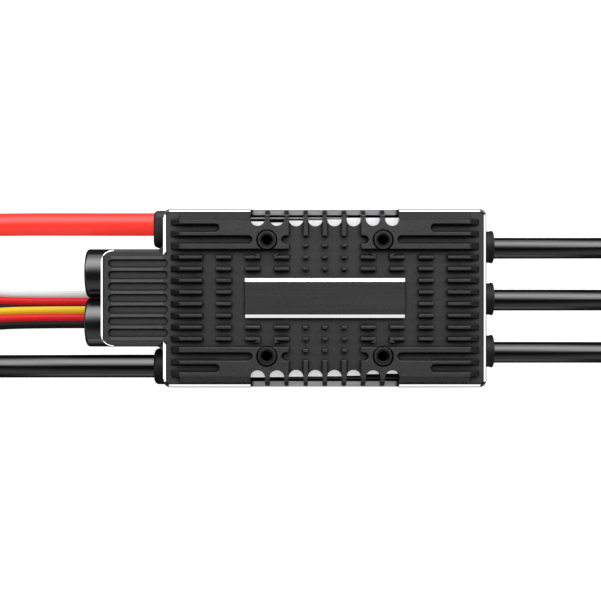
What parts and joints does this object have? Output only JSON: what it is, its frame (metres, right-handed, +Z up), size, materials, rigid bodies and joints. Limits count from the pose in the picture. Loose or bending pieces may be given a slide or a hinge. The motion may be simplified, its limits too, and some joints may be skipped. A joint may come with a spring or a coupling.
{
  "type": "electronic speed controller",
  "caption": "Motor speed controller in a finned dark metal case with capacitors under a hood, supply cables and signal leads at one end, phase cables at the other.",
  "frame": {"origin": "middle of the case's flat bottom face, under the middle of the fan-screw square", "axes": "+X along the case towards the three phase cables, +Y across it towards the positive supply cable, +Z up out of the finned deck"},
  "size_m": [0.3338, 0.0448, 0.0245],
  "materials": {
    "connector_black": "satin",
    "brass_standoff": "satin",
    "terminal_copper": "satin",
    "tinned_copper": "satin",
    "seal_rubber": "matte",
    "bare_aluminium": "satin",
    "capacitor_sleeve": "gloss",
    "screw_steel": "satin",
    "ceramic_tan": "satin",
    "circuit_board": "satin",
    "shunt_metal": "satin",
    "fan_screw_inserts": "satin",
    "chip_black": "matte",
    "pin_gold": "gloss",
    "lower_housing": "satin",
    "name_plate": "satin",
    "black_silicone": "satin",
    "boot_rubber": "matte",
    "red_silicone": "satin",
    "program_lead": "satin",
    "tie_black": "satin",
    "inductor_ferrite": "matte",
    "thermal_pad": "matte",
    "throttle_lead": "satin",
    "upper_housing": "satin"
  },
  "bodies": {
    "root": {"board_header": "connector_black", "board_standoffs": "brass_standoff", "bus_bars": "terminal_copper", "cable_cores": "tinned_copper", "capacitor_bungs": "seal_rubber", "capacitor_cans": "bare_aluminium", "capacitor_lead_seal": "seal_rubber", "capacitor_leads": "tinned_copper", "capacitor_sleeves": "capacitor_sleeve", "case_gasket": "seal_rubber", "case_screws": "screw_steel", "ceramic_capacitors": "ceramic_tan", "control_board": "circuit_board", "current_shunt": "shunt_metal", "fan_screw_inserts": "fan_screw_inserts", "gate_drivers": "chip_black", "header_pins": "pin_gold", "heat_spreader": "bare_aluminium", "lower_housing": "lower_housing", "microcontroller": "chip_black", "mosfets": "chip_black", "name_plate": "name_plate", "negative_cable": "black_silicone", "negative_cable_boot": "boot_rubber", "negative_tinned_end": "tinned_copper", "phase_a_tinned_end": "tinned_copper", "phase_b_tinned_end": "tinned_copper", "phase_c_tinned_end": "tinned_copper", "phase_cable_a": "black_silicone", "phase_cable_b": "black_silicone", "phase_cable_c": "black_silicone", "phase_cable_grommets": "boot_rubber", "phase_terminals": "terminal_copper", "positive_cable": "red_silicone", "positive_cable_boot": "boot_rubber", "positive_tinned_end": "tinned_copper", "power_board": "circuit_board", "program_connector": "connector_black", "program_contacts": "pin_gold", "program_lead": "program_lead", "program_lead_hank": "program_lead", "program_lead_tie": "tie_black", "regulator_chip": "chip_black", "regulator_inductor": "inductor_ferrite", "signal_lead_seal": "seal_rubber", "supply_terminals": "terminal_copper", "thermal_pad": "thermal_pad", "throttle_connector": "connector_black", "throttle_contacts": "pin_gold", "throttle_lead": "throttle_lead", "throttle_lead_hank": "throttle_lead", "throttle_lead_tie": "tie_black", "upper_housing": "upper_housing"}
  },
  "joints": []
}
